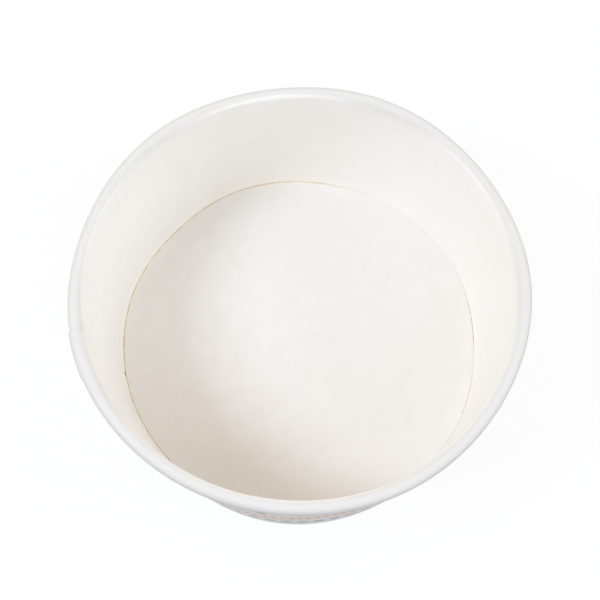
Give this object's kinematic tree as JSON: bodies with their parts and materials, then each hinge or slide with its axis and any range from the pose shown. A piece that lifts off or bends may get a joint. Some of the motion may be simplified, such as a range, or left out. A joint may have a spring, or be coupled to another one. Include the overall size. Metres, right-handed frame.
{
  "type": "paper ice cream cup",
  "caption": "Round paper ice cream cup with a rolled rim, a tapered lapped side wall and a recessed bottom disc.",
  "frame": {"origin": "centre of the folded ring that the cup stands on, on the table", "axes": "+Z is the cup's axis, up through the mouth; the picture looks along +Y and down, with +X to its right, and the lapped seam is near -X"},
  "size_m": [0.09, 0.09, 0.0412],
  "materials": {
    "wall_board": "satin",
    "bottom_board": "satin"
  },
  "bodies": {
    "root": {"side_wall": "wall_board", "bottom_disc": "bottom_board"}
  },
  "joints": []
}
